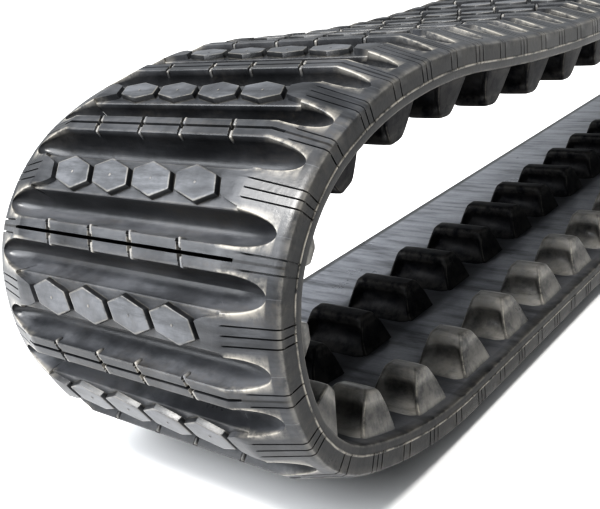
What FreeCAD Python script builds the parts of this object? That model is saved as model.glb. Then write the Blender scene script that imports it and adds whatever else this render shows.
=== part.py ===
"""Internal-drive rubber track, standing on its bottom run as a closed loop.

Frame: +X along the loop, +Y across the belt (the narrow guide lugs are at -Y), +Z up.  The
origin is at the centre of the footprint, on the surface that the tread stands on.

The belt is laid out along its neutral line, where the cords are.  A place on it is measured
in tread bars: 0 at the middle of the top run, then forwards and down around the front curl,
LOOP_BARS / 2 at the middle of the bottom run, and back around the rear curl.
"""
import FreeCAD, Part
import math
import os

Vec = FreeCAD.Vector

# Belt, mm
WIDTH = 381.0
LUG_PITCH = 101.6
LUG_COUNT = 42
BAR_PITCH = LUG_PITCH / 2
LOOP_BARS = 2 * LUG_COUNT

# Heights from the neutral line, outwards positive, mm
INNER_FACE = -10.0
GROOVE_FLOOR = 8.0
LEDGE_TOP = 30.0
TREAD_TOP = 36.0
EDGE_TOP = 19.0
LUG_TIP = -52.0
CORD_HALF = 1.1
CORD_EDGE = 14.0
EMBED = 4.0

# Curl and sag of half the loop's neutral line, from the bottom run forwards and up and back
# to the top run: (bars, degrees turned) of each arc.  A straight run joins it at each end
CURL = [(2, 12.0), (2, 12.0), (2, 48.0), (2, 30.0), (1, 23.0), (2, 33.0), (2, 16.0),
        (3, 14.0), (8, -8.0)]

# Bodies, and the cells of one lug pitch that each has, from the middle of the top run
BODY_CELLS = [("top_run_front", 7), ("front_curl_upper", 2), ("front_curl_middle", 2),
              ("front_curl_lower", 2), ("bottom_run", 16), ("rear_curl_lower", 2),
              ("rear_curl_middle", 2), ("rear_curl_upper", 2), ("top_run_rear", 7)]

# Bend line between two bodies: half the gap at the pivot, and the relief on each side of it
PIVOT_GAP = 0.25
RELIEF_DEG = 7.0
OPENING_GAP = 1.0

# Tread bars, mm
BAR_FOOT = 23.0
FOOT_RADIUS = 10.0
HEX_RIB = 16.5
HEX_SPACING = 55.8
HEX_COUNT = 4
HEX_CHANNEL = 5.0
HEX_FLAT = 15.0
SPLIT_RIB = 9.0
SPLIT_SLOT = 3.2
SPLIT_SLOT_DEPTH = 12.0
SPLIT_SLOT_END = 150.0
NOTCHES = (27.2, 90.2)
NOTCH_WIDTH = 5.0
NOTCH_DEPTH = 8.0
SHOULDER_TOP_END = 136.0
FLARE_START = 142.0
FLARE_END = 177.0
SIPE_WIDTH = 1.2
SIPE_DEPTH = 5.0
HEX_SIPES = (-7.5, 0.0, 7.5)
SPLIT_SIPES = (-5.5, 5.5)

# Lugs: (height from the neutral line, half length along the belt, flare across it), mm
LUG_SECTIONS = [(INNER_FACE + EMBED, 28.5, 14.0), (INNER_FACE, 27.0, 13.0), (-15.0, 21.0, 9.5),
                (-24.0, 16.5, 6.0), (-36.0, 13.5, 3.0), (-48.0, 11.5, 0.8), (LUG_TIP, 9.5, -1.5)]
# Lug tips across the belt, from the guide-lug edge, mm
GUIDE_LUG = (27.0, 69.0)
DRIVE_LUG = (162.0, 241.0)


def walk(arcs, bars):
    """Point and heading (degrees) on the front half of the neutral line, from the middle
    of the bottom run."""
    x, z, heading, left = 0.0, TREAD_TOP, 180.0, bars
    for count, turn in arcs:
        part = min(count, left)
        length = part * BAR_PITCH
        bend = turn * part / count
        chord = length
        if bend:
            half = math.radians(bend) / 2
            chord = length * math.sin(half) / half
        middle = math.radians(heading - bend / 2)
        x += chord * math.cos(middle)
        z += chord * math.sin(middle)
        heading -= bend
        left -= part
        if left <= 0:
            break
    return x, z, heading


def half_loop():
    """Arcs of half the loop, with straight runs of the lengths that make the loop close."""
    straight = LUG_COUNT - sum(count for count, _ in CURL)
    short = -walk(CURL, LUG_COUNT)[0] / BAR_PITCH
    top = (straight + short) / 2
    return [(straight - top, 0.0)] + CURL + [(top, 0.0)]


HALF_LOOP = half_loop()


def station(place):
    """Origin, direction along the belt and outward normal at a place on the loop."""
    front = place <= LOOP_BARS / 2
    x, z, heading = walk(HALF_LOOP, abs(place - LOOP_BARS / 2))
    angle = math.radians(heading)
    along = Vec(-math.cos(angle), 0, -math.sin(angle))
    outward = Vec(-math.sin(angle), 0, math.cos(angle))
    if front:
        return Vec(x, 0, z), along, outward
    return Vec(-x, 0, z), Vec(along.x, 0, -along.z), Vec(-outward.x, 0, outward.z)


def belt_point(place, height, shift=0.0):
    """Point in the middle plane at a height from the neutral line, moved along the belt."""
    origin, along, outward = station(place)
    return origin + outward * height + along * shift


def place_on_belt(shape, place):
    """Copy of a shape drawn flat (X along the belt, Y across it, Z outwards), set in place."""
    origin, along, outward = station(place)
    across = outward.cross(along)
    matrix = FreeCAD.Matrix(along.x, across.x, outward.x, origin.x,
                            along.y, across.y, outward.y, origin.y,
                            along.z, across.z, outward.z, origin.z,
                            0, 0, 0, 1)
    return shape.transformed(matrix)


def arc_places(start, end):
    """Places between start and end where one arc of the loop meets the next."""
    marks = set()
    total = 0
    for count, _ in HALF_LOOP:
        marks.update((LOOP_BARS / 2 - total, LOOP_BARS / 2 + total))
        total += count
    inner = [mark for mark in marks if start < mark < end]
    return [start] + sorted(inner) + [end]


def belt_line(start, end, height):
    """Edges that follow the belt at a height, from start to end."""
    edges = []
    places = arc_places(start, end)
    for first, last in zip(places, places[1:]):
        ends = [belt_point(place, height) for place in (first, (first + last) / 2, last)]
        bow = (ends[1] - (ends[0] + ends[2]) / 2).Length
        if bow < 1e-4:
            edges.append(Part.makeLine(ends[0], ends[2]))
        else:
            edges.append(Part.Arc(*ends).toShape())
    return edges


def belt_slab(start, end, low, high, half_width):
    """Solid between two heights of the belt; its ends lie square to the neutral line."""
    top = belt_line(start, end, high)
    bottom = belt_line(start, end, low)
    sides = [Part.makeLine(belt_point(place, low), belt_point(place, high)) for place in (start, end)]
    face = Part.Face(Part.Wire(Part.__sortEdges__(top + bottom + sides)))
    face.translate(Vec(0, -half_width, 0))
    return face.extrude(Vec(0, 2 * half_width, 0))


def polygon_prism(points, direction):
    """Solid swept from a closed polygon."""
    return Part.Face(Part.makePolygon(points + [points[0]])).extrude(direction)


def bend_relief(place, side):
    """Wedge cut from a body's end, so that it can turn about the pivot on the neutral line.
    side is +1 where the body lies past the bend line and -1 where it lies before it."""
    slope = math.tan(math.radians(RELIEF_DEG))
    reach = 3 * TREAD_TOP
    outline = [(-reach, -reach), (PIVOT_GAP + slope * reach, -reach), (PIVOT_GAP, 0),
               (PIVOT_GAP + slope * reach, reach), (-reach, reach)]
    points = [Vec(side * x, -WIDTH, z) for x, z in outline]
    return place_on_belt(polygon_prism(points, Vec(0, 2 * WIDTH, 0)), place)


def body_end(place, side):
    """Space cut from a body's end: the loop's opening in the top run, or a bend line."""
    if place in (0, LOOP_BARS):
        length = OPENING_GAP / 2 + BAR_PITCH
        shift = OPENING_GAP / 2 - length if side > 0 else -OPENING_GAP / 2
        box = Part.makeBox(length, 2 * WIDTH, 2 * TREAD_TOP, Vec(shift, -WIDTH, -TREAD_TOP))
        return place_on_belt(box, place)
    return bend_relief(place, side)


def shoulder_cutter():
    """Space above the sloping shoulders of a bar, on both sides of the belt."""
    half = WIDTH / 2
    fall = (TREAD_TOP - EDGE_TOP) / (half - SHOULDER_TOP_END)
    over = 10.0
    outline = [(SHOULDER_TOP_END - over / fall, TREAD_TOP + over),
               (half + over, EDGE_TOP - over * fall), (half + over, TREAD_TOP + over)]
    wedges = []
    for side in (-1, 1):
        points = [Vec(-BAR_PITCH, side * y, z) for y, z in outline]
        wedges.append(polygon_prism(points, Vec(2 * BAR_PITCH, 0, 0)))
    return wedges


def rib(half_top, top):
    """Straight rib over the whole width, with a hollow fillet down to its foot."""
    base = GROOVE_FLOOR - EMBED
    start = GROOVE_FLOOR + FOOT_RADIUS
    lean = (BAR_FOOT - half_top) * 0.25
    throat = half_top + lean
    edges = []
    for side in (-1, 1):
        foot = Vec(side * BAR_FOOT, 0, GROOVE_FLOOR)
        neck = Vec(side * throat, 0, start)
        middle = Vec(side * (throat + 0.3 * (BAR_FOOT - throat)), 0, GROOVE_FLOOR + 0.3 * FOOT_RADIUS)
        edges.append(Part.makeLine(Vec(side * half_top, 0, top), neck))
        edges.append(Part.Arc(neck, middle, foot).toShape())
        edges.append(Part.makeLine(foot, Vec(side * BAR_FOOT, 0, base)))
    edges.append(Part.makeLine(Vec(-half_top, 0, top), Vec(half_top, 0, top)))
    edges.append(Part.makeLine(Vec(-BAR_FOOT, 0, base), Vec(BAR_FOOT, 0, base)))
    face = Part.Face(Part.Wire(Part.__sortEdges__(edges)))
    face.translate(Vec(0, -WIDTH / 2, 0))
    return face.extrude(Vec(0, WIDTH, 0))


def shoulder_block(half_rib, start, point):
    """End block of a bar at +Y: it starts as half a hexagon where point is more than zero,
    and flares to the foot's width, around the ends of the grooves beside it."""
    half = WIDTH / 2
    flare_middle = (FLARE_START + FLARE_END) / 2
    bulge = half_rib + 0.3 * (BAR_FOOT - half_rib)
    edges = []
    for side in (-1, 1):
        root = Vec(side * (HEX_FLAT / 2 if point else half_rib), start, 0)
        corner = Vec(side * half_rib, start + point, 0)
        flare = Vec(side * half_rib, FLARE_START, 0)
        wide = Vec(side * BAR_FOOT, FLARE_END, 0)
        if point:
            edges.append(Part.makeLine(root, corner))
        edges.append(Part.makeLine(corner, flare))
        edges.append(Part.Arc(flare, Vec(side * bulge, flare_middle, 0), wide).toShape())
        edges.append(Part.makeLine(wide, Vec(side * BAR_FOOT, half, 0)))
    reach = HEX_FLAT / 2 if point else half_rib
    edges.append(Part.makeLine(Vec(-reach, start, 0), Vec(reach, start, 0)))
    edges.append(Part.makeLine(Vec(-BAR_FOOT, half, 0), Vec(BAR_FOOT, half, 0)))
    face = Part.Face(Part.Wire(Part.__sortEdges__(edges)))
    face.translate(Vec(0, 0, GROOVE_FLOOR - EMBED))
    return face.extrude(Vec(0, 0, TREAD_TOP - GROOVE_FLOOR + EMBED))


def both_ends(shape):
    """A shape at +Y and its mirror image at -Y."""
    return [shape, shape.mirror(Vec(0, 0, 0), Vec(0, 1, 0))]


def sipes(places, start):
    """Thin cuts that run down the shoulder to the belt's edge."""
    half = WIDTH / 2
    low = EDGE_TOP - SIPE_DEPTH
    outline = [(start, TREAD_TOP - SIPE_DEPTH), (half + 1, low - 1), (half + 1, TREAD_TOP + 1),
               (start, TREAD_TOP + 1)]
    cuts = []
    for x in places:
        points = [Vec(x - SIPE_WIDTH / 2, y, z) for y, z in outline]
        cuts += both_ends(polygon_prism(points, Vec(SIPE_WIDTH, 0, 0)))
    return cuts


def hexagon_block(y):
    """Six-sided block on a hex bar's ledge, with its points along the belt."""
    half = (HEX_SPACING - HEX_CHANNEL) / 2
    corner = HEX_FLAT / 2
    outline = [(-HEX_RIB, 0), (-corner, half), (corner, half), (HEX_RIB, 0), (corner, -half),
               (-corner, -half)]
    points = [Vec(x, y + across, LEDGE_TOP - 1) for x, across in outline]
    return polygon_prism(points, Vec(0, 0, TREAD_TOP - LEDGE_TOP + 1))


def hex_bar():
    """One bar with hexagon blocks, drawn flat."""
    block_end = HEX_COUNT / 2 * HEX_SPACING + HEX_CHANNEL / 2
    point = (HEX_SPACING - HEX_CHANNEL) / 2
    pieces = both_ends(shoulder_block(HEX_RIB, block_end, point))
    for number in range(HEX_COUNT):
        pieces.append(hexagon_block((number - (HEX_COUNT - 1) / 2) * HEX_SPACING))
    bar = rib(HEX_RIB, LEDGE_TOP).fuse(pieces)
    bar = bar.cut(shoulder_cutter() + sipes(HEX_SIPES, SHOULDER_TOP_END + 4))
    return bar.removeSplitter()


def split_bar():
    """One bar of two narrow ribs with notches across them, drawn flat."""
    bar = rib(SPLIT_RIB, TREAD_TOP).fuse(both_ends(shoulder_block(SPLIT_RIB, FLARE_START - 6, 0)))
    slot = Part.makeBox(SPLIT_SLOT, 2 * SPLIT_SLOT_END, SPLIT_SLOT_DEPTH + 1,
                        Vec(-SPLIT_SLOT / 2, -SPLIT_SLOT_END, TREAD_TOP - SPLIT_SLOT_DEPTH))
    cuts = [slot] + shoulder_cutter() + sipes(SPLIT_SIPES, SPLIT_SLOT_END + 4)
    for y in NOTCHES:
        notch = Part.makeBox(2 * BAR_FOOT, NOTCH_WIDTH, NOTCH_DEPTH + 1,
                             Vec(-BAR_FOOT, y - NOTCH_WIDTH / 2, TREAD_TOP - NOTCH_DEPTH))
        cuts += both_ends(notch)
    return bar.cut(cuts).removeSplitter()


def lug(span):
    """One lug, drawn flat: hollow faces to the front and rear, and a flared base."""
    edge = WIDTH / 2
    wires = []
    for height, half, flare in LUG_SECTIONS:
        near = edge - span[0] + flare
        far = edge - span[1] - flare
        corners = [Vec(-half, far, height), Vec(half, far, height), Vec(half, near, height),
                   Vec(-half, near, height)]
        wires.append(Part.makePolygon(corners + corners[:1]))
    return Part.makeLoft(wires, True, True)


def bedded(shape, places, belt):
    """Copies of a shape at places on the belt, each one ending on the belt's surface."""
    return [solid for place in places for solid in place_on_belt(shape, place).cut(belt).Solids]


def export(name, solids):
    """One STEP file for one node."""
    shape = solids[0] if len(solids) == 1 else Part.makeCompound(solids)
    if not shape.isValid():
        raise ValueError(name + " is not valid")
    shape.exportStep("parts/" + name + ".step")
    volume = sum(solid.Volume for solid in solids)
    print(f"{name}: {len(solids)} solids, {volume / 1e6:.3f} litres")


def build_body(name, start, end, patterns):
    """All the pieces of one rigid body of the belt."""
    belt = belt_slab(start, end, INNER_FACE, GROOVE_FLOOR, WIDTH / 2)
    ends = [body_end(start, 1), body_end(end, -1)]
    slot = belt_slab(start, end, -CORD_HALF, CORD_HALF, WIDTH / 2 - CORD_EDGE)
    carcass = belt.cut(ends).cut(slot)
    cords = slot.cut(ends)
    cells = range(start, end, 2)
    export(name + "_carcass", carcass.Solids)
    export(name + "_cord_ply", cords.Solids)
    for piece, (shape, shift) in patterns.items():
        export(name + "_" + piece, bedded(shape, [cell + shift for cell in cells], belt))


def main():
    os.makedirs("parts", exist_ok=True)
    patterns = {"hex_bars": (hex_bar(), 0.5), "split_bars": (split_bar(), 1.5),
                "drive_lugs": (lug(DRIVE_LUG), 1.0), "guide_lugs": (lug(GUIDE_LUG), 1.0)}
    start = 0
    for name, cells in BODY_CELLS:
        end = start + 2 * cells
        build_body(name, start, end, patterns)
        start = end


main()
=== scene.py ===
"""Looks of the rubber track.

The belt is drawn in its own coordinates: a place along the loop in tread bars, a distance across
it (world Y), and a height from the neutral line of the cords.  Skins carry the carcass with its
tread grooves; those where two bodies meet are laid round the loop there and stay fixed in place.
Hexagon blocks, notch bridges and lugs are pieces of their own that ride on the bodies.
"""
import math
import bpy
import mathutils
import numpy as np
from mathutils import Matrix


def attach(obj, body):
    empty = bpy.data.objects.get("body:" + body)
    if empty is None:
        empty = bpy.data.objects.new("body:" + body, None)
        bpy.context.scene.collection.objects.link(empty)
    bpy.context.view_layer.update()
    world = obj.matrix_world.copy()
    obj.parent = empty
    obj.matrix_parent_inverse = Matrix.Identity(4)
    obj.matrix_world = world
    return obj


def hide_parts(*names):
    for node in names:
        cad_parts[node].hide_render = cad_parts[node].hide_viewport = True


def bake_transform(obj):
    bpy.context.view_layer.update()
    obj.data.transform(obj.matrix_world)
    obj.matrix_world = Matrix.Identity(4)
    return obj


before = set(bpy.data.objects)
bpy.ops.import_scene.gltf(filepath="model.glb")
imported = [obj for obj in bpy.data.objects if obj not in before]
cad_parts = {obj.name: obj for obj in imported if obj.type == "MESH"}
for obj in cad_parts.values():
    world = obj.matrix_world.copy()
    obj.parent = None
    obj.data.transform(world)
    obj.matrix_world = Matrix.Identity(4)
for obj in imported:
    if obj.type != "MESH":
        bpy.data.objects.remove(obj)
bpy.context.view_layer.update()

MM = 0.001
WIDTH = 381.0 * MM
HALF = WIDTH / 2
BAR_PITCH = 50.8 * MM
LUG_COUNT = 42
LOOP_BARS = 2 * LUG_COUNT

# Heights from the neutral line
INNER_FACE = -10.0 * MM
GROOVE_FLOOR = 8.0 * MM
LEDGE_TOP = 30.0 * MM
TREAD_TOP = 36.0 * MM
EDGE_TOP = 19.0 * MM

# Half of the loop from the bottom run forwards: (bars, degrees turned) of each arc
CURL = [(2, 12.0), (2, 12.0), (2, 48.0), (2, 30.0), (1, 23.0), (2, 33.0), (2, 16.0),
        (3, 14.0), (8, -8.0)]

# Bodies and the bars that each one spans
BODY_SPANS = {"top_run_front": (0, 14), "front_curl_upper": (14, 18),
              "front_curl_middle": (18, 22), "front_curl_lower": (22, 26),
              "bottom_run": (26, 58), "rear_curl_lower": (58, 62),
              "rear_curl_middle": (62, 66), "rear_curl_upper": (66, 70),
              "top_run_rear": (70, 84)}

# Bodies whose guide lugs hang down and are painted black as shade, where the others take the
# paler look of lit, dusty lugs
HANGING_IN_SHADE = ("top_run_front", "front_curl_upper", "rear_curl_upper", "top_run_rear")

# Bars and grooves of the tread
HEX_RIB = 16.5 * MM  # half of a hexagon bar's width
SPLIT_RIB = 9.0 * MM  # half of a split bar's width
RIB_HALF = {"hex": HEX_RIB, "split": SPLIT_RIB}
RIM_HEIGHT = {"hex": LEDGE_TOP, "split": TREAD_TOP}
RIM_DROP = 0.8 * MM  # how far a rim lies below the top of its bar
RIM_DROP_END = (170.0 * MM, 178.0 * MM)  # where that drop fades out
RIM_INSETS = (0.0, 0.8 * MM, 2.2 * MM)  # rows of a rim, counted from the groove
RIM_WEAR_AND_GLINT_START = (124.0 * MM, 142.0 * MM)  # where the strong rubbing and painted highlight of a rim fade in
RIM_WEAR_AND_GLINT_END = (179.0 * MM, 184.0 * MM)  # and where they fade out again
GROOVE_HALF = (BAR_PITCH - HEX_RIB - SPLIT_RIB) / 2  # half of a groove's width
GROOVE_LEAST = 0.5 * MM  # what is left of that past the groove's end
GROOVE_END = (140.0 * MM, 179.0 * MM)  # where a groove closes to its round end
GROOVE_END_TURNS = (4, 12, 20, 28, 36, 45, 54, 63, 72, 81, 90)  # its lines, in degrees round it
GROOVE_SHARES = (0.0, 0.3, 0.55, 0.74, 0.88, 0.96)  # rows from a groove's middle to its rim
GROOVE_ROUND = 0.55  # section of a groove, between a parabola (0) and a round trough (1)
GROOVE_BLOOM_AND_SHEEN = 0.45  # how grey a groove is along its middle, partly real blooming and partly painted sheen
GROOVE_END_PAINTED_LIGHT = 0.4  # painted light: how much greyer a groove gets at its end, lifting the shade there
TOP_BLOOM_AND_SHEEN = 0.5  # how grey the top of a bar is: partly real blooming, partly painted sheen

# Hexagon blocks, the ledge that they stand on, and the pointed start of the shoulders
HEX_SPACING = 55.8 * MM  # from one block to the next
HEX_CHANNEL = 5.0 * MM  # gap between two blocks
HEX_FLAT = 15.0 * MM  # length of the two sides of a block that run along the belt
HEX_LEDGE_LINE = 11.5 * MM  # offset of the rows on the ledge
BLOCK_ROUND = 1.1 * MM  # corner rounding of blocks and bridges
POINT_START = 2 * HEX_SPACING + HEX_CHANNEL / 2  # where a shoulder starts
POINT_WALL = 0.5 * MM  # half the width that its upright start takes
POINT_LENGTH = (HEX_SPACING - HEX_CHANNEL) / 2  # how far its start slopes away at the rims

# Shoulders, and the fine cuts (sipes) in them that run on down the side wall
SHOULDER_START = 136.0 * MM  # the top falls towards the edge from here
EDGE_ROUND = 3.0 * MM  # width of the rounded outer corner
EDGE_ROUND_DROP = 1.6 * MM
EDGE_WORN = 5.0 * MM  # width of the wear on that corner
EDGE_WEAR = 0.3
CUT_WALL = 0.35 * MM  # half the width that the upright walls of slots and notches take
SIPE_HALF = 0.5 * MM
SIPE_WALL = 0.15 * MM
SIPE_DEPTH = 3.5 * MM
SIPES = {"hex": (-7.5 * MM, 0.0, 7.5 * MM), "split": (-5.5 * MM, 5.5 * MM)}
SIPE_START = {"hex": (139.5 * MM, 142.7 * MM), "split": (153.0 * MM, 157.0 * MM)}
WALL_CUT = 1.1 * MM  # depth of a cut in the side wall
SEAM_CUT = 1.18 * MM  # its depth where it crosses the mould seam
SEAM_OUT = 0.8 * MM  # how far the seam stands out of the wall

# Slot, notches and notch bridges of a split bar
SLOT_HALF = 0.95 * MM
SLOT_DEPTH = 13.0 * MM
SLOT_CENTRE = 1.3  # how many times as deep the slot is along its centre
SLOT_END = 148.0 * MM
NOTCHES = (27.2 * MM, 90.2 * MM)  # distances from the belt's middle
NOTCH_HALF = 2.6 * MM
NOTCH_DEPTH = 8.0 * MM
NOTCH_LIP = 0.9 * MM  # distance of the next line of points beside a notch
NOTCH_WORN = 0.6 * MM  # width of the wear beside a notch
NOTCH_WEAR = 0.6
BRIDGE_OFFSET = 6.4 * MM  # from the bar's centre line
BRIDGE_HALF = (3.8 * MM, 1.8 * MM)  # half its size along the belt and across
BRIDGE_ASIDE = 0.4 * MM  # how far it lies to one side of its notch

# Slant of the notches and block ends (across per along), and where it dies out
SLANT = 0.45
SLANT_ZONE = (118.0 * MM, 141.0 * MM)

# Bends and ends of the skins
OPENING_HALF = 0.12 * MM  # half the opening in the middle of the top run
ROW_STEP = 0.01 * MM  # least distance of the rows that are held at the opening
BEND_REACH = (13.0 * MM, 7.0 * MM)  # what bends before and after a bend line

# Lug tips across the belt, from the guide-lug edge
GUIDE_LUG = (27.0 * MM, 69.0 * MM)
DRIVE_LUG = (162.0 * MM, 241.0 * MM)


class Loop:
    """The neutral line of the belt, as runs of straight lines and arcs."""

    def __init__(self):
        straight = LUG_COUNT - sum(count for count, _ in CURL)
        curl_length = self.trace(CURL) / BAR_PITCH
        top = (straight - curl_length) / 2
        self.trace([(straight - top, 0.0)] + CURL + [(top, 0.0)])

    def trace(self, arcs):
        """Keeps the start of each arc (bars walked, x, z, heading, turn rate) and gives the
        x that the last one reaches."""
        rows = []
        bars, x, z, heading = 0.0, 0.0, TREAD_TOP, math.pi
        for count, turn in arcs:
            rate = math.radians(turn) / count
            rows.append((bars, x, z, heading, rate))
            x, z, heading = self.step(x, z, heading, rate, count)
            bars += count
        self.rows = np.array(rows)
        return x

    @staticmethod
    def step(x, z, heading, rate, bars):
        """Point and heading some bars further on, on one arc."""
        half = rate * bars / 2
        chord = bars * BAR_PITCH * np.sinc(half / np.pi)
        return (x + chord * np.cos(heading - half), z + chord * np.sin(heading - half),
                heading - 2 * half)

    def point(self, bars):
        """Points and headings on the front half, bars from the middle of the bottom run."""
        which = np.searchsorted(self.rows[:, 0], bars, side="right") - 1
        which = np.clip(which, 0, len(self.rows) - 1)
        start, x, z, heading, rate = self.rows[which].T
        return self.step(x, z, heading, rate, bars - start)

    def place(self, places, across, height):
        """World points of belt coordinates; places are in bars from the top run's middle."""
        places, across, height = np.broadcast_arrays(places, across, height)
        flat = np.asarray(places, float).ravel()
        x, z, heading = self.point(np.abs(flat - LUG_COUNT))
        out_x, out_z = -np.sin(heading), np.cos(heading)
        side = np.where(flat > LUG_COUNT, -1.0, 1.0)
        rise = np.asarray(height, float).ravel()
        points = np.stack([side * (x + rise * out_x), np.asarray(across, float).ravel(),
                           z + rise * out_z], axis=1)
        return points.reshape(places.shape + (3,))


LOOP = Loop()


# ---------------------------------------------------------------- materials

def node(tree, kind, inputs=None, **settings):
    """A shader node with its settings and its inputs' values or links."""
    made = tree.nodes.new(kind)
    for name, value in settings.items():
        setattr(made, name, value)
    for name, value in (inputs or {}).items():
        if isinstance(value, bpy.types.NodeSocket):
            tree.links.new(value, made.inputs[name])
        else:
            made.inputs[name].default_value = value
    return made


def noise(tree, place, scale, detail, rough):
    """Noise from 0 to 1."""
    return node(tree, "ShaderNodeTexNoise", {"Vector": place, "Scale": scale, "Detail": detail,
                                             "Roughness": rough}).outputs["Fac"]


def window(tree, value, low, high, top=1.0):
    """value mapped smoothly from low..high to 0..top."""
    return node(tree, "ShaderNodeMapRange",
                {"Value": value, "From Min": low, "From Max": high, "To Max": top},
                interpolation_type="SMOOTHSTEP").outputs["Result"]


def combine(tree, kind, first, second):
    """Two numbers in one Math node, held between 0 and 1."""
    made = node(tree, "ShaderNodeMath", {0: first, 1: second}, operation=kind, use_clamp=True)
    return made.outputs[0]


def blend_colour(tree, amount, under, over):
    """One colour over another."""
    made = node(tree, "ShaderNodeMix", {0: amount, 6: under, 7: over}, data_type="RGBA")
    return made.outputs[2]


# Colours of rubbed edges, partly painted highlights, and of the chalk-pale face that the rollers
# run on, partly painted sky light
WORN_AND_GLINT = (0.40, 0.375, 0.33, 1.0)
CHALK_AND_SKY_LIGHT = (0.40, 0.41, 0.44, 1.0)


def rubber(name, deep, bloom_and_sheen, dust, dust_share, rough, grain, shine=0.42,
           belt_coordinates=True):
    """Moulded black rubber: grey blooming in soft patches and where a piece is rubbed clean,
    brown dust in streaks, pale rubbed edges, and a fine grain with scuff marks.  The
    bloom_and_sheen attribute also lays the grey on as painted sheen on tops and lit faces and
    holds it back as painted shade in hollows and on shaded lugs; the pale edges from wear are
    partly painted highlight lines, and the chalk-pale inner face is partly painted sky light."""
    material = bpy.data.materials.new(name)
    material.use_nodes = True
    tree = material.node_tree
    tree.nodes.clear()
    if belt_coordinates:
        place = node(tree, "ShaderNodeAttribute", attribute_name="flat").outputs["Vector"]
    else:
        place = node(tree, "ShaderNodeTexCoord").outputs["Object"]
    stretched = node(tree, "ShaderNodeMapping", {"Vector": place, "Scale": (55.0, 7.0, 12.0)})
    patches = noise(tree, place, 13.0, 5.0, 0.65)
    fine = noise(tree, place, 210.0, 3.0, 0.7)
    streaks = noise(tree, stretched.outputs["Vector"], 1.0, 6.0, 0.72)
    worn_and_glinting = node(tree, "ShaderNodeAttribute", attribute_name="wear").outputs["Fac"]
    # grey of real blooming, and of painted sheen and painted shade
    bloom_and_sheen_grey = node(tree, "ShaderNodeAttribute", attribute_name="bloom_and_sheen").outputs["Fac"]

    mottled = combine(tree, "MULTIPLY", window(tree, patches, 0.30, 0.66),
                      window(tree, streaks, 0.30, 0.62))
    clouded = combine(tree, "ADD", combine(tree, "MULTIPLY", bloom_and_sheen_grey, 0.45),
                      combine(tree, "MULTIPLY", bloom_and_sheen_grey, mottled))
    clouded = combine(tree, "ADD", clouded, combine(tree, "MULTIPLY", mottled, 0.12))
    colour = blend_colour(tree, clouded, deep, bloom_and_sheen)

    # chalk-pale inner face, partly painted sky light
    chalk_and_sky_light = combine(tree, "MULTIPLY", window(tree, bloom_and_sheen_grey, 1.0, 2.0),
                     window(tree, streaks, 0.25, 0.70))
    colour = blend_colour(tree, chalk_and_sky_light, colour, CHALK_AND_SKY_LIGHT)

    dusty = combine(tree, "MULTIPLY", window(tree, streaks, 0.46, 0.74, dust_share),
                    window(tree, fine, 0.25, 0.7))
    colour = blend_colour(tree, dusty, colour, dust)
    # pale rubbed marks, partly painted highlight lines on edges
    scuffs_and_glints = combine(tree, "MULTIPLY", worn_and_glinting, window(tree, noise(tree, place, 60.0, 5.0, 0.7),
                                                    0.34, 0.60, 0.8))
    colour = blend_colour(tree, scuffs_and_glints, colour, WORN_AND_GLINT)

    roughness = node(tree, "ShaderNodeMapRange", {"Value": patches, "From Min": 0.3,
                                                  "From Max": 0.7, "To Min": rough - 0.08,
                                                  "To Max": rough + 0.10}).outputs["Result"]
    roughness = combine(tree, "ADD", roughness, combine(tree, "MULTIPLY", dusty, 0.3))
    bumps = combine(tree, "ADD", combine(tree, "MULTIPLY", fine, 0.6),
                    combine(tree, "MULTIPLY", streaks, 0.4))
    bump = node(tree, "ShaderNodeBump", {"Height": bumps, "Strength": grain, "Distance": 0.0005})
    shader = node(tree, "ShaderNodeBsdfPrincipled",
                  {"Base Color": colour, "Roughness": roughness, "Normal": bump.outputs["Normal"],
                   "Specular IOR Level": shine, "IOR": 1.5})
    output = node(tree, "ShaderNodeOutputMaterial")
    tree.links.new(shader.outputs[0], output.inputs[0])
    return material


MATERIALS = {
    "tread": rubber("tread_rubber", deep=(0.0045, 0.0048, 0.0055, 1),
                    bloom_and_sheen=(0.080, 0.083, 0.090, 1), dust=(0.075, 0.062, 0.047, 1),
                    dust_share=0.35, rough=0.33, grain=0.55),
    # block tops greyer than the tread: partly real blooming, partly painted sheen
    "blocks": rubber("block_rubber", deep=(0.0060, 0.0064, 0.0072, 1),
                     bloom_and_sheen=(0.105, 0.109, 0.118, 1), dust=(0.080, 0.070, 0.058, 1),
                     dust_share=0.25, rough=0.33, grain=0.55),
    # near-black lugs: black rubber, and painted shadow of the top run over the drive lugs
    "black_lug": rubber("black_lug_rubber", deep=(0.0014, 0.0020, 0.0048, 1),
                        bloom_and_sheen=(0.004, 0.0048, 0.0075, 1), dust=(0.007, 0.0055, 0.004, 1),
                        dust_share=0.40, rough=0.42, grain=0.4, shine=0.12),
    # lit lugs: grey that is partly real dust and partly painted light
    "lit_dusty_lug": rubber("dusty_lug_rubber", deep=(0.0080, 0.0085, 0.010, 1),
                        bloom_and_sheen=(0.30, 0.295, 0.285, 1), dust=(0.070, 0.061, 0.050, 1),
                        dust_share=0.35, rough=0.34, grain=0.5),
    "cords": rubber("cord_ply", deep=(0.10, 0.085, 0.06, 1), bloom_and_sheen=(0.16, 0.14, 0.10, 1),
                    dust=(0.2, 0.17, 0.13, 1), dust_share=0.2, rough=0.7, grain=0.8,
                    belt_coordinates=False),
}


# ---------------------------------------------------------------- mesh helpers

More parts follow.
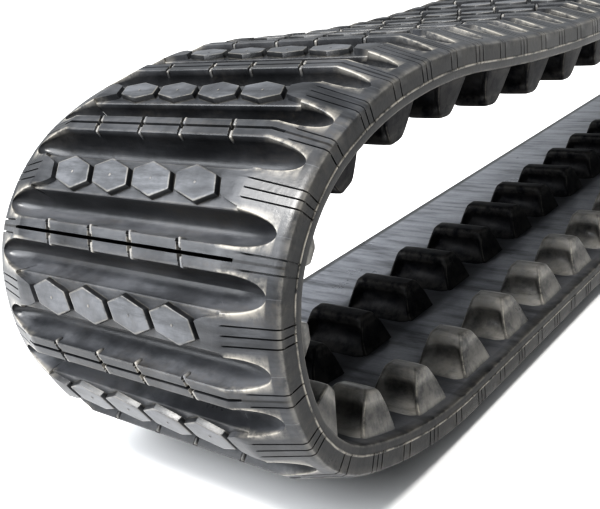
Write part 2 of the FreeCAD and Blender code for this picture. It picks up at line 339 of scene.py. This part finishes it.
def make_object(name, points, faces, material, flat=None, wear=None, bloom_and_sheen=None):
    """Mesh object from points and faces.  flat holds the points' belt coordinates, which its
    material follows, wear says how rubbed each point is and, along some edges, paints a highlight
    line, and bloom_and_sheen how grey it is, partly real blooming and partly painted sheen on
    tops and lit faces, with less grey as painted shade in hollows: up to 1 on the tread and the
    lugs, and beyond that on the chalk-pale inner face, which is partly painted sky light."""
    mesh = bpy.data.meshes.new(name)
    mesh.from_pydata(np.asarray(points).tolist(), [], faces)
    if flat is not None:
        layer = mesh.attributes.new("flat", "FLOAT_VECTOR", "POINT")
        layer.data.foreach_set("vector", np.asarray(flat, dtype=np.float32).ravel())
    for field, values in (("wear", wear), ("bloom_and_sheen", bloom_and_sheen)):
        if values is not None:
            layer = mesh.attributes.new(field, "FLOAT", "POINT")
            layer.data.foreach_set("value", np.asarray(values, dtype=np.float32))
    mesh.polygons.foreach_set("use_smooth", [True] * len(mesh.polygons))
    mesh.materials.append(material)
    mesh.update()
    mesh.set_sharp_from_angle(angle=math.radians(32))
    made = bpy.data.objects.new(name, mesh)
    bpy.context.scene.collection.objects.link(made)
    return made


def smooth_step(value, low, high):
    """0 below low, 1 above high, smooth between."""
    t = np.clip((value - low) / (high - low), 0.0, 1.0)
    return t * t * (3 - 2 * t)


# ---------------------------------------------------------------- tread skin

# Lines of points on the outer face, beside those that its notches, points, shoulders, cuts and
# groove ends need, as distances from the belt's middle
PLAIN_LINES = [0.0, 14 * MM, 46 * MM, 60 * MM, 75 * MM, 100 * MM, 107 * MM, 121 * MM, 129 * MM,
               183 * MM, 187 * MM, 189.3 * MM, 190.2 * MM]


def half_columns():
    """Distances from the belt's middle where the outer face has lines of points."""
    lines = PLAIN_LINES + [POINT_START - POINT_WALL, POINT_START + POINT_WALL, SHOULDER_START,
                           SIPE_START["hex"][0]]
    for notch in NOTCHES:
        for side in (-1, 1):
            lines += [notch + side * (NOTCH_HALF + step)
                      for step in (-CUT_WALL, CUT_WALL, CUT_WALL + NOTCH_LIP)]
    first, last = GROOVE_END
    lines += [first + (last - first) * math.sin(math.radians(turn))
              for turn in GROOVE_END_TURNS]
    return sorted(lines)


HALF_COLUMNS = half_columns()
COLUMNS = np.array([-line for line in reversed(HALF_COLUMNS)] + HALF_COLUMNS[1:])
# Where the outer face's lines are pushed outwards to follow the pointed start of a shoulder,
# and the share of the push there
PUSH = ((88 * MM, 113 * MM, 117 * MM, 178 * MM), (0.0, 1.0, 1.0, 0.0))


def pushed(offset, share):
    """The columns at an offset from a hexagon bar's centre line, following the point of the
    shoulder by a share."""
    slope = np.clip((offset - HEX_FLAT / 2) / (HEX_RIB - HEX_FLAT / 2), 0, 1)
    away = np.abs(COLUMNS)
    return np.sign(COLUMNS) * (away + share * slope * POINT_LENGTH * np.interp(away, *PUSH))


def slanted(across, offset):
    """Points moved across the belt so that notches and block ends run at a slant, which
    dies out towards the shoulders.  offset is along the belt from the bar's centre line."""
    return across - SLANT * offset * (1 - smooth_step(np.abs(across), *SLANT_ZONE))


def shoulder_top(away):
    """Height of a bar's top across the belt: level, then falling to the edge."""
    fall = (TREAD_TOP - EDGE_TOP) / (HALF - SHOULDER_START)
    top = TREAD_TOP - fall * np.clip(away - SHOULDER_START, 0, None)
    return top - EDGE_ROUND_DROP * smooth_step(away, HALF - EDGE_ROUND, HALF)


def end_share(away):
    """How far a groove has closed towards its rounded end: 1 in the middle, 0 at the end."""
    past = np.clip((away - GROOVE_END[0]) / (GROOVE_END[1] - GROOVE_END[0]), 0, 1)
    return np.sqrt(1 - past ** 2)


def groove_half(away):
    """Half of a groove's width."""
    return np.maximum(GROOVE_HALF * end_share(away), GROOVE_LEAST)


def rim_offset(bar, away):
    """Offset of a groove's rim from the bar's centre line."""
    return RIB_HALF[bar] + GROOVE_HALF - groove_half(away)


def rim_drop(away):
    """How far the rim of a groove lies below the bar's top."""
    return RIM_DROP * (1 - smooth_step(away, *RIM_DROP_END))


def edge_wear(away):
    """Wear of the tread's outer corner."""
    return EDGE_WEAR * smooth_step(away, HALF - EDGE_WORN, HALF)


def bar_top(bar, away, cut=False):
    """Height of a bar across the belt: its ledge or notches, its shoulders and their cuts."""
    top = shoulder_top(away)
    if bar == "hex":
        height = np.where(np.abs(COLUMNS) > POINT_START, top, LEDGE_TOP)
    else:
        in_notch = np.any([np.abs(away - notch) < NOTCH_HALF for notch in NOTCHES], axis=0)
        height = np.where(in_notch, top - NOTCH_DEPTH, top)
    if cut:
        height = height - SIPE_DEPTH * smooth_step(away, *SIPE_START[bar])
    return height


def row_across(bar, reach, share):
    """Where a row's points lie across the belt, and their distances from its middle.  reach is
    the offset on the bar whose shape the row follows, and share says how closely."""
    across = pushed(abs(reach), share) if bar == "hex" else COLUMNS
    return slanted(across, share * reach), np.abs(across)


def groove_row(bar, share, side):
    """One row in the groove before a bar (side -1) or after it (side 1), at a share of the way
    from the groove's middle to its rim."""
    across, away = row_across(bar, side * RIB_HALF[bar], share ** 2)
    top, own, closing = shoulder_top(away), bar_top(bar, away), end_share(away)
    drop = rim_drop(away)
    low_rim = np.minimum(RIM_HEIGHT[bar], top)
    floor = GROOVE_FLOOR + (top - drop - GROOVE_FLOOR) * (1 - closing)
    rise = GROOVE_ROUND * (1 - math.sqrt(1 - share ** 3)) + (1 - GROOVE_ROUND) * share ** 2
    height = floor + np.maximum(low_rim - drop - floor, 0) * rise
    height += np.maximum(own - np.maximum(low_rim, floor), 0) * rise ** 3
    offset = rim_offset(bar, away) + groove_half(away) * (1 - share)
    wear = np.where(closing > 0, 0.0, edge_wear(away))
    # painted light and shade: the side before a bar (the lower wall on the front curl) greyer as
    # painted sheen, the side after it darker as painted shade, and greyer towards the end as
    # painted light
    bloom_and_sheen = GROOVE_BLOOM_AND_SHEEN * (1 - side * share) + GROOVE_END_PAINTED_LIGHT * (1 - closing)
    return side * offset, across, np.minimum(height, own), wear, bloom_and_sheen, False


def rim_row(bar, inset, side):
    """One row on a bar's rounded rim, at an inset from the groove before or after the bar.  The
    rim is most rubbed on its middle row and at the ends of the groove, and that pale line is
    partly a painted highlight."""
    across, away = row_across(bar, side * RIB_HALF[bar], 1.0)
    height = bar_top(bar, away) - (rim_drop(away) if inset == 0 else 0.0)
    near_end = smooth_step(away, *RIM_WEAR_AND_GLINT_START) * (1 - smooth_step(away, *RIM_WEAR_AND_GLINT_END))
    worn_and_glinting = 1.0 if inset == RIM_INSETS[1] else 0.5 * near_end
    worn_and_glinting = worn_and_glinting * (0.1 + 0.9 * near_end) * smooth_step(end_share(away), 0.0, 0.3)
    offset = np.maximum(rim_offset(bar, away) - inset, inset)
    bloom_and_sheen = np.full(len(away), TOP_BLOOM_AND_SHEEN)
    return side * offset, across, height, worn_and_glinting + edge_wear(away), bloom_and_sheen, False


def top_row(bar, offset, cut):
    """One row on top of a bar, at an offset from its centre line."""
    across, away = row_across(bar, offset, 1.0)
    height = bar_top(bar, away, cut)
    wear = edge_wear(away)
    bloom_and_sheen = np.full(len(away), TOP_BLOOM_AND_SHEEN)
    if bar == "split" and abs(offset) < SLOT_HALF:
        depth = SLOT_DEPTH * (SLOT_CENTRE if offset == 0 else 1.0)
        height = np.where(away < SLOT_END, shoulder_top(away) - depth, height)
        # the slot left black: painted shade in the slot
        bloom_and_sheen[:] = 0.0
    if bar == "split" and not cut:
        for notch in NOTCHES:
            lip = np.abs(away - notch) - NOTCH_HALF
            wear = np.where((lip > 0) & (lip < NOTCH_WORN), NOTCH_WEAR, wear)
    return np.full(len(away), offset), across, height, wear, bloom_and_sheen, cut


def top_offsets(bar):
    """Offsets of the rows on top of a bar, between its rims, and which of them are cut."""
    if bar == "hex":
        plain = [-HEX_LEDGE_LINE, HEX_LEDGE_LINE]
    else:
        plain = [0.0] + [side * (SLOT_HALF + step)
                         for side in (-1, 1) for step in (-CUT_WALL, CUT_WALL)]
    rows = [(offset, False) for offset in plain]
    for sipe in SIPES[bar]:
        for side in (-1, 1):
            rows.append((sipe + side * SIPE_HALF, True))
            rows.append((sipe + side * (SIPE_HALF + SIPE_WALL), False))
    return sorted(rows)


def cell_rows():
    """The rows of one cell: (distance along the belt, across, height, wear, bloom, cut).
    The first is the middle line of the groove before the cell's hexagon bar."""
    rows = []
    for bar, centre in (("hex", BAR_PITCH / 2), ("split", 1.5 * BAR_PITCH)):
        bar_rows = [groove_row(bar, share, -1) for share in GROOVE_SHARES]
        bar_rows += [rim_row(bar, inset, -1) for inset in RIM_INSETS]
        bar_rows += [top_row(bar, offset, cut) for offset, cut in top_offsets(bar)]
        bar_rows += [rim_row(bar, inset, 1) for inset in reversed(RIM_INSETS)]
        bar_rows += [groove_row(bar, share, 1) for share in reversed(GROOVE_SHARES[1:])]
        rows += [(centre + offset, *rest) for offset, *rest in bar_rows]
    return rows


def edge_points(top, cut):
    """Points down the side wall, over its mould seam and round the inner corner: (across,
    height, wear, bloom)."""
    wall = HALF - WALL_CUT if cut else HALF
    seam = HALF - SEAM_CUT if cut else HALF + SEAM_OUT
    return [(wall, top - 1.5 * MM, 0.1, 0.0),
            (wall, 9.0 * MM, 0.0, 0.0),
            (wall, 1.4 * MM, 0.0, 0.0),
            (seam, 0.45 * MM, 0.9, 0.0),
            (seam, -0.35 * MM, 0.9, 0.0),
            (HALF, -1.4 * MM, 0.0, 0.0),
            (HALF, INNER_FACE + 3.0 * MM, 0.0, 0.0),
            (HALF - 0.9 * MM, INNER_FACE + 0.9 * MM, 0.3, 0.0),
            (HALF - 3.0 * MM, INNER_FACE, 0.1, 0.3)]


# Lines of points on the inner face, and how grey it is there: the rollers' track is chalk-pale,
# palest on the far side, partly as painted sky light
INNER_LINES = ((176 * MM, 1.8), (130 * MM, 1.95), (82 * MM, 1.7), (66 * MM, 0.8),
               (30 * MM, 0.4), (-30 * MM, 0.7), (-52 * MM, 1.6), (-98 * MM, 1.6),
               (-112 * MM, 1.15), (-150 * MM, 1.15), (-176 * MM, 1.2))


def closed_ring(row):
    """A row carried round the belt's section: (along, across, height, wear, bloom)."""
    along, across, height, wear, bloom_and_sheen, cut = row
    ring = list(zip(along, across, height, wear, bloom_and_sheen))
    first, last = along[0], along[-1]
    ring += [(last, y, h, w, b) for y, h, w, b in edge_points(height[-1], cut)]
    ring += [(last, y, INNER_FACE, 0.0, grey) for y, grey in INNER_LINES]
    ring += [(first, -y, h, w, b) for y, h, w, b in reversed(edge_points(height[0], cut))]
    return np.array(ring)


CELL_RINGS = np.array([closed_ring(row) for row in cell_rows()])


def straighten(rings, limit, side):
    """Holds rings on one side of a straight cut across the belt, a hair apart."""
    steps = np.arange(len(rings))[::side] * ROW_STEP
    hold = np.maximum if side > 0 else np.minimum
    for ring, step in zip(rings, steps):
        ring[:, 0] = hold(ring[:, 0], limit + side * step)


def moved(rings, bars):
    """Rings moved along the belt by a number of bars."""
    return rings + np.array([bars * BAR_PITCH, 0, 0, 0, 0])


def skin(name, start, end):
    """One closed length of belt, between the groove middles by two places in bars."""
    rings = [moved(CELL_RINGS, 2 * cell) for cell in range(start // 2, end // 2)]
    closing = 3 if end == LOOP_BARS else 1
    rings.append(moved(CELL_RINGS[:closing], end))
    rings = np.concatenate(rings)
    if start == 0:
        rings = rings[1:]
        rings[0, :, 0] = OPENING_HALF
        straighten(rings, OPENING_HALF, 1)
    if end == LOOP_BARS:
        rings[-1, :, 0] = end * BAR_PITCH - OPENING_HALF
        straighten(rings, end * BAR_PITCH - OPENING_HALF, -1)
    total, count = rings.shape[:2]
    points = LOOP.place(rings[:, :, 0] / BAR_PITCH, rings[:, :, 1], rings[:, :, 2])
    faces = []
    for row in range(total - 1):
        base = row * count
        for column in range(count):
            following = (column + 1) % count
            faces.append((base + column, base + following, base + count + following,
                          base + count + column))
    last = (total - 1) * count
    faces.append(tuple(range(count))[::-1])
    faces.append(tuple(last + column for column in range(count)))
    made = make_object(name, points.reshape(-1, 3), faces, MATERIALS["tread"],
                       rings[:, :, :3].reshape(-1, 3), rings[:, :, 3].ravel(),
                       rings[:, :, 4].ravel())
    return made


def bend_points(place):
    """Ends of the stretch that bends around a bend line, on the neutral line."""
    before, after = BEND_REACH
    ends = np.array([place - before / BAR_PITCH, place + after / BAR_PITCH])
    first, second = LOOP.place(ends, 0.0, 0.0)
    return tuple(first), tuple(second)


def make_skins():
    """Skins of the whole belt: rigid ones on the runs, and fixed ones laid over each bend line.
    """
    names = list(BODY_SPANS)
    made = []
    for first, second in zip(names, names[1:]):
        line = BODY_SPANS[first][1]
        piece = skin(f"skin_{first}_to_{second}", line - 2, line + 2)
        start, end = bend_points(line)
        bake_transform(piece)
        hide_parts(first + "_carcass", second + "_carcass")
        made.append(piece)
    for body in ("top_run_front", "bottom_run", "top_run_rear"):
        low, high = BODY_SPANS[body]
        low += 2 if low else 0
        high -= 2 if high < LOOP_BARS else 0
        piece = skin("skin_" + body, low, high)
        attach(piece, body)
        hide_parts(body + "_carcass")
        made.append(piece)
    return made


# ---------------------------------------------------------------- blocks, bridges, lugs

class Pieces:
    """Closed stacks of outlines in belt coordinates, gathered into one object."""

    def __init__(self):
        self.flat, self.wear, self.bloom_and_sheen, self.faces = [], [], [], []
        self.total = 0

    def stack(self, along, across, rows):
        """Adds one stack; rows are (outline, height, wear, bloom), outlines seen from outside."""
        count = len(rows[0][0])
        for row, (outline, height, wear, bloom_and_sheen) in enumerate(rows):
            self.flat.append(np.column_stack([along + outline[:, 0], across + outline[:, 1],
                                              np.full(count, height)]))
            self.wear += list(np.broadcast_to(wear, count))
            self.bloom_and_sheen += list(np.broadcast_to(bloom_and_sheen, count))
            base = self.total + row * count
            for corner in range(count if row + 1 < len(rows) else 0):
                following = (corner + 1) % count
                self.faces.append((base + corner, base + count + corner,
                                   base + count + following, base + following))
        top = self.total + (len(rows) - 1) * count
        self.faces.append(tuple(self.total + corner for corner in range(count)))
        self.faces.append(tuple(top + corner for corner in range(count))[::-1])
        self.total += len(rows) * count

    def make(self, name, material):
        """The gathered stacks as one object."""
        flat = np.concatenate(self.flat)
        points = LOOP.place(flat[:, 0] / BAR_PITCH, flat[:, 1], flat[:, 2])
        made = make_object(name, points, self.faces, MATERIALS[material], flat, self.wear,
                           self.bloom_and_sheen)
        return made


def rounded(corners, radius, steps):
    """Outline with its corners rounded, kept in the corners' order."""
    outline = []
    corners = np.asarray(corners, float)
    for i, here in enumerate(corners):
        before, after = corners[i - 1], corners[(i + 1) % len(corners)]
        back = (before - here) / np.linalg.norm(before - here)
        ahead = (after - here) / np.linalg.norm(after - here)
        for step in np.linspace(0, 1, steps):
            outline.append(here + radius * (back * (1 - step) ** 2 + ahead * step ** 2))
    return np.array(outline)


def hexagon(inset):
    """Outline of a hexagon block, drawn in by an inset."""
    half = (HEX_SPACING - HEX_CHANNEL) / 2 - inset
    flat = HEX_FLAT / 2 - 0.3 * inset
    tip = HEX_RIB - 0.6 * MM - inset
    corners = [(-tip, 0), (-flat, -half), (flat, -half), (tip, 0), (flat, half), (-flat, half)]
    return rounded([(x, y - SLANT * x) for x, y in corners], BLOCK_ROUND, 3)


def circle(radius, sides=12):
    """Outline of a round button."""
    turns = np.arange(sides) * 2 * np.pi / sides
    return np.column_stack([np.cos(turns), np.sin(turns)]) * radius


# A hexagon block from its root in the ledge to the middle of its slightly hollow top: inset,
# scale of the outline, height, wear and bloom_and_sheen.  The first paints highlight lines on the
# root edge and along the bevel; the second greys the top, partly real blooming and partly painted
# sheen.
BLOCK_ROWS = [(-0.2 * MM, 1.0, LEDGE_TOP - 2.0 * MM, 0.0, 0.0),
              (0.0 * MM, 1.0, LEDGE_TOP + 0.3 * MM, 0.25, 0.0),
              (0.4 * MM, 1.0, LEDGE_TOP + 1.2 * MM, 0.0, 0.0),
              (1.0 * MM, 1.0, TREAD_TOP - 0.8 * MM, 0.0, 0.1),
              (1.3 * MM, 1.0, TREAD_TOP - 0.35 * MM, 0.3, 0.4),
              (2.0 * MM, 1.0, TREAD_TOP - 0.05 * MM, 0.3, 0.6),
              (3.2 * MM, 1.0, TREAD_TOP, 0.0, 0.8),
              (3.2 * MM, 0.6, TREAD_TOP - 0.35 * MM, 0.0, 0.8),
              (3.2 * MM, 0.2, TREAD_TOP - 0.5 * MM, 0.0, 0.8)]

# The low moulding nub in a block's middle: radius, height, wear and bloom
NUB_ROWS = [(1.5 * MM, TREAD_TOP - 1.2 * MM, 0.0, 0.6),
            (1.4 * MM, TREAD_TOP - 0.3 * MM, 0.2, 0.6),
            (0.8 * MM, TREAD_TOP, 0.4, 0.6)]

# A notch bridge from its root to its top: inset, height, wear and bloom_and_sheen.  Its pale
# upper edges and grey top are partly real rubbing and blooming, partly painted highlight and
# painted sheen.
BRIDGE_ROWS = [(0.0 * MM, TREAD_TOP - 9.0 * MM, 0.0, 0.2),
               (0.0 * MM, TREAD_TOP - 2.4 * MM, 0.5, 0.6),
               (0.25 * MM, TREAD_TOP - 1.3 * MM, 0.7, 0.9),
               (0.7 * MM, TREAD_TOP - 0.8 * MM, 0.5, 1.0)]


def hexagon_blocks(body):
    """The hexagon blocks of one body, each with a low moulding nub."""
    low, high = BODY_SPANS[body]
    block = [(hexagon(inset) * scale, *rest) for inset, scale, *rest in BLOCK_ROWS]
    nub = [(circle(radius), *rest) for radius, *rest in NUB_ROWS]
    blocks = Pieces()
    for place in range(low, high, 2):
        along = (place + 0.5) * BAR_PITCH
        for number in range(4):
            across = (number - 1.5) * HEX_SPACING
            blocks.stack(along, across, block)
            blocks.stack(along, across, nub)
    return blocks.make(body + "_hexagon_blocks", "blocks")


def bridge(inset):
    """Outline of a bridge in a notch, long along the belt and slanted as the notch is."""
    along, across = BRIDGE_HALF[0] - inset, BRIDGE_HALF[1] - inset
    corners = [(-along, -across), (along, -across), (along, across), (-along, across)]
    return rounded([(x, y - SLANT * x) for x, y in corners], BLOCK_ROUND, 4)


def notch_bridges(body):
    """Small rounded bridges in the notches, one in each rib of a split bar."""
    low, high = BODY_SPANS[body]
    rows = [(bridge(inset), *rest) for inset, *rest in BRIDGE_ROWS]
    bridges = Pieces()
    for place in range(low, high, 2):
        for side in (-1, 1):
            for notch in NOTCHES:
                for offset in (-BRIDGE_OFFSET, BRIDGE_OFFSET):
                    along = (place + 1.5) * BAR_PITCH + offset
                    across = side * notch - BRIDGE_ASIDE - SLANT * offset
                    bridges.stack(along, across, rows)
    return bridges.make(body + "_notch_bridges", "blocks")


# A lug from its root in the carcass to its tip: height, half length along the belt in its middle
# and at its ends, flare across the belt, corner radius, wear and bloom_and_sheen.  Its faces are
# hollow in the middle, where the rollers of the sprocket lie, and its ends are domed.  Its grey
# is painted light and shade: painted sheen on the flared root, painted shade in the hollow waist,
# and on the tip partly real dust and partly painted light.
LUG_ROWS = [(-7.0, 37.0, 29.0, 12.5, 4.0, 0.0, 0.5), (-10.2, 35.0, 28.6, 11.8, 4.0, 0.2, 0.9),
            (-11.6, 30.0, 28.2, 11.2, 4.0, 0.4, 1.0), (-14.0, 24.0, 27.7, 10.4, 4.0, 0.4, 0.9),
            (-18.0, 18.0, 26.7, 9.0, 3.8, 0.3, 0.6), (-24.0, 13.2, 24.8, 7.0, 3.4, 0.2, 0.2),
            (-30.0, 11.2, 22.6, 5.2, 3.0, 0.2, 0.1), (-35.0, 11.0, 20.3, 3.8, 2.8, 0.2, 0.2),
            (-38.5, 12.2, 18.4, 2.9, 2.8, 0.3, 0.7), (-41.0, 13.6, 17.0, 2.2, 2.8, 0.5, 1.0),
            (-46.0, 13.4, 14.0, 0.9, 3.0, 0.3, 1.0), (-49.4, 12.3, 11.4, -0.4, 3.2, 0.6, 1.0),
            (-51.3, 9.6, 8.6, -2.2, 3.2, 0.4, 1.0), (-52.0, 6.2, 5.6, -4.8, 2.6, 0.2, 1.0)]
LUG_END_ZONE = 13.0 * MM
# heights between which a lug's upright edges get a painted highlight
LUG_WAIST = (-42.0, -13.0)

# Which points of an outline are its upright edges, and which its end faces
LUG_EDGES = [2, 7, 19, 24]
LUG_ENDS = [*range(0, 10), *range(17, 27)]


def lug_outline(middle, end, near, far, corner):
    """Outline of a lug at one height, narrower or wider in its middle than at its ends."""
    steps = LUG_END_ZONE * np.array([0.35, 0.65, 1.0])
    across = np.concatenate([near + steps, [(near + far) / 2], far - steps[::-1]])
    share = smooth_step(np.minimum(across - near, far - across), 0.0, LUG_END_ZONE)
    half = end + (middle - end) * share
    box = rounded([(end, near), (-end, near), (-end, far), (end, far)], corner, 5)
    first_end, second_end = box[:10], box[10:]
    back_side = np.column_stack([-half, across])
    front_side = np.column_stack([half, across])[::-1]
    return np.concatenate([first_end, back_side, second_end, front_side])


# Material of a lug, and how much of the wear and bloom_and_sheen shows on it.  The shaded black
# look is painted shade: the drive lugs lie in the top run's cast shadow and the hanging guide
# lugs in shade; the lit dusty look is partly real dust and partly painted light.
SHADED_BLACK_LUG = ("black_lug", 0.25)
LIT_DUSTY_LUG = ("lit_dusty_lug", 1.0)


def lug_row(body, kind, tips, material, dust):
    """One row of a body's lugs, with tips between two distances from the guide-lug edge."""
    low, high = BODY_SPANS[body]
    lugs = Pieces()
    rows = []
    for height, middle, end, flare, corner, wear, bloom_and_sheen in LUG_ROWS:
        near, far = -HALF + tips[0] - flare * MM, -HALF + tips[1] + flare * MM
        outline = lug_outline(middle * MM, end * MM, near, far, corner * MM)
        worn_and_glinting = np.full(len(outline), wear)
        # painted highlight down the upright edges, strongest over the waist
        worn_and_glinting[LUG_EDGES] += 0.8 if LUG_WAIST[0] < height < LUG_WAIST[1] else 0.2
        grey = np.full(len(outline), bloom_and_sheen)
        # end faces less grey: painted shade on the ends
        grey[LUG_ENDS] *= 0.45
        # the dust factor scales the grey and edge lines; on the shaded black lugs it paints shade
        rows.append((outline, height * MM, worn_and_glinting * dust, grey * dust))
    for place in range(low, high, 2):
        lugs.stack((place + 1) * BAR_PITCH, 0.0, rows)
    return lugs.make(f"{body}_{kind}_lug_row", material)


def make_riders():
    """The pieces that ride on one body each."""
    for body in BODY_SPANS:
        blocks = hexagon_blocks(body)
        bridges = notch_bridges(body)
        drive = lug_row(body, "drive", DRIVE_LUG, *SHADED_BLACK_LUG)
        # hanging guide lugs painted black as shade
        guide_look = SHADED_BLACK_LUG if body in HANGING_IN_SHADE else LIT_DUSTY_LUG
        guide = lug_row(body, "guide", GUIDE_LUG, *guide_look)
        for piece in (blocks, bridges, drive, guide):
            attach(piece, body)
        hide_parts(body + "_hex_bars")
        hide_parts(body + "_split_bars")
        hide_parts(body + "_drive_lugs")
        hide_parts(body + "_guide_lugs")
        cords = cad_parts[body + "_cord_ply"]
        cords.data.materials.clear()
        cords.data.materials.append(MATERIALS["cords"])


# ---------------------------------------------------------------- floor, light, camera

def make_floor():
    """Plain pale floor."""
    size = 40.0
    corners = [(-size, -size, 0), (size, -size, 0), (size, size, 0), (-size, size, 0)]
    material = bpy.data.materials.new("floor")
    material.use_nodes = True
    shader = material.node_tree.nodes["Principled BSDF"]
    shader.inputs["Base Color"].default_value = (0.76, 0.76, 0.76, 1)
    shader.inputs["Roughness"].default_value = 0.9
    shader.inputs["Specular IOR Level"].default_value = 0.1
    floor = make_object("floor", corners, [(0, 1, 2, 3)], material)
    floor.location.z = -0.0005


def aim(thing, target, roll=0.0):
    """Turns an object's -Z towards a point, with its +Y up, and then rolls it in degrees."""
    direction = mathutils.Vector(target) - mathutils.Vector(thing.location)
    turn = mathutils.Quaternion((0, 0, 1), math.radians(roll))
    thing.rotation_euler = (direction.to_track_quat("-Z", "Y") @ turn).to_euler()


def add_light(kind, name, place, target, colour, **settings):
    """A light aimed at a point."""
    light = bpy.data.lights.new(name, kind)
    light.color = colour
    for setting, value in settings.items():
        setattr(light, setting, value)
    made = bpy.data.objects.new(name, light)
    made.location = place
    aim(made, target)
    bpy.context.scene.collection.objects.link(made)


def make_lights():
    """Studio light: pale surroundings, a high sun with soft edges from the front, and a large
    soft light in front of the curl, from the side away from the camera."""
    world = bpy.data.worlds.new("studio")
    bpy.context.scene.world = world
    world.use_nodes = True
    background = world.node_tree.nodes["Background"]
    background.inputs["Color"].default_value = (0.95, 0.98, 1.0, 1)
    background.inputs["Strength"].default_value = 0.42
    add_light("SUN", "key", (-1.2, -0.15, 2.6), (0, 0, 0), (1.0, 0.98, 0.95), energy=3.3,
              angle=math.radians(16))
    add_light("AREA", "front", (-3.0, 1.2, 2.6), (-0.9, 0, 0.3), (0.95, 0.97, 1.0), energy=170,
              size=2.8)
    bpy.context.scene.view_settings.view_transform = "Standard"
    bpy.context.scene.view_settings.look = "High Contrast"


def make_camera():
    """Camera low in front of the guide-lug edge, looking along the belt, held at a tilt."""
    data = bpy.data.cameras.new("camera")
    data.sensor_fit = "HORIZONTAL"
    data.sensor_width = 36.0
    data.lens = 54.0
    data.clip_end = 200
    camera = bpy.data.objects.new("camera", data)
    camera.location = (-1.454, -0.633, 0.548)
    aim(camera, (-0.891, -0.138, 0.269), roll=-8.9)
    bpy.context.scene.collection.objects.link(camera)
    bpy.context.scene.camera = camera


make_skins()
make_riders()
make_floor()
make_lights()
make_camera()
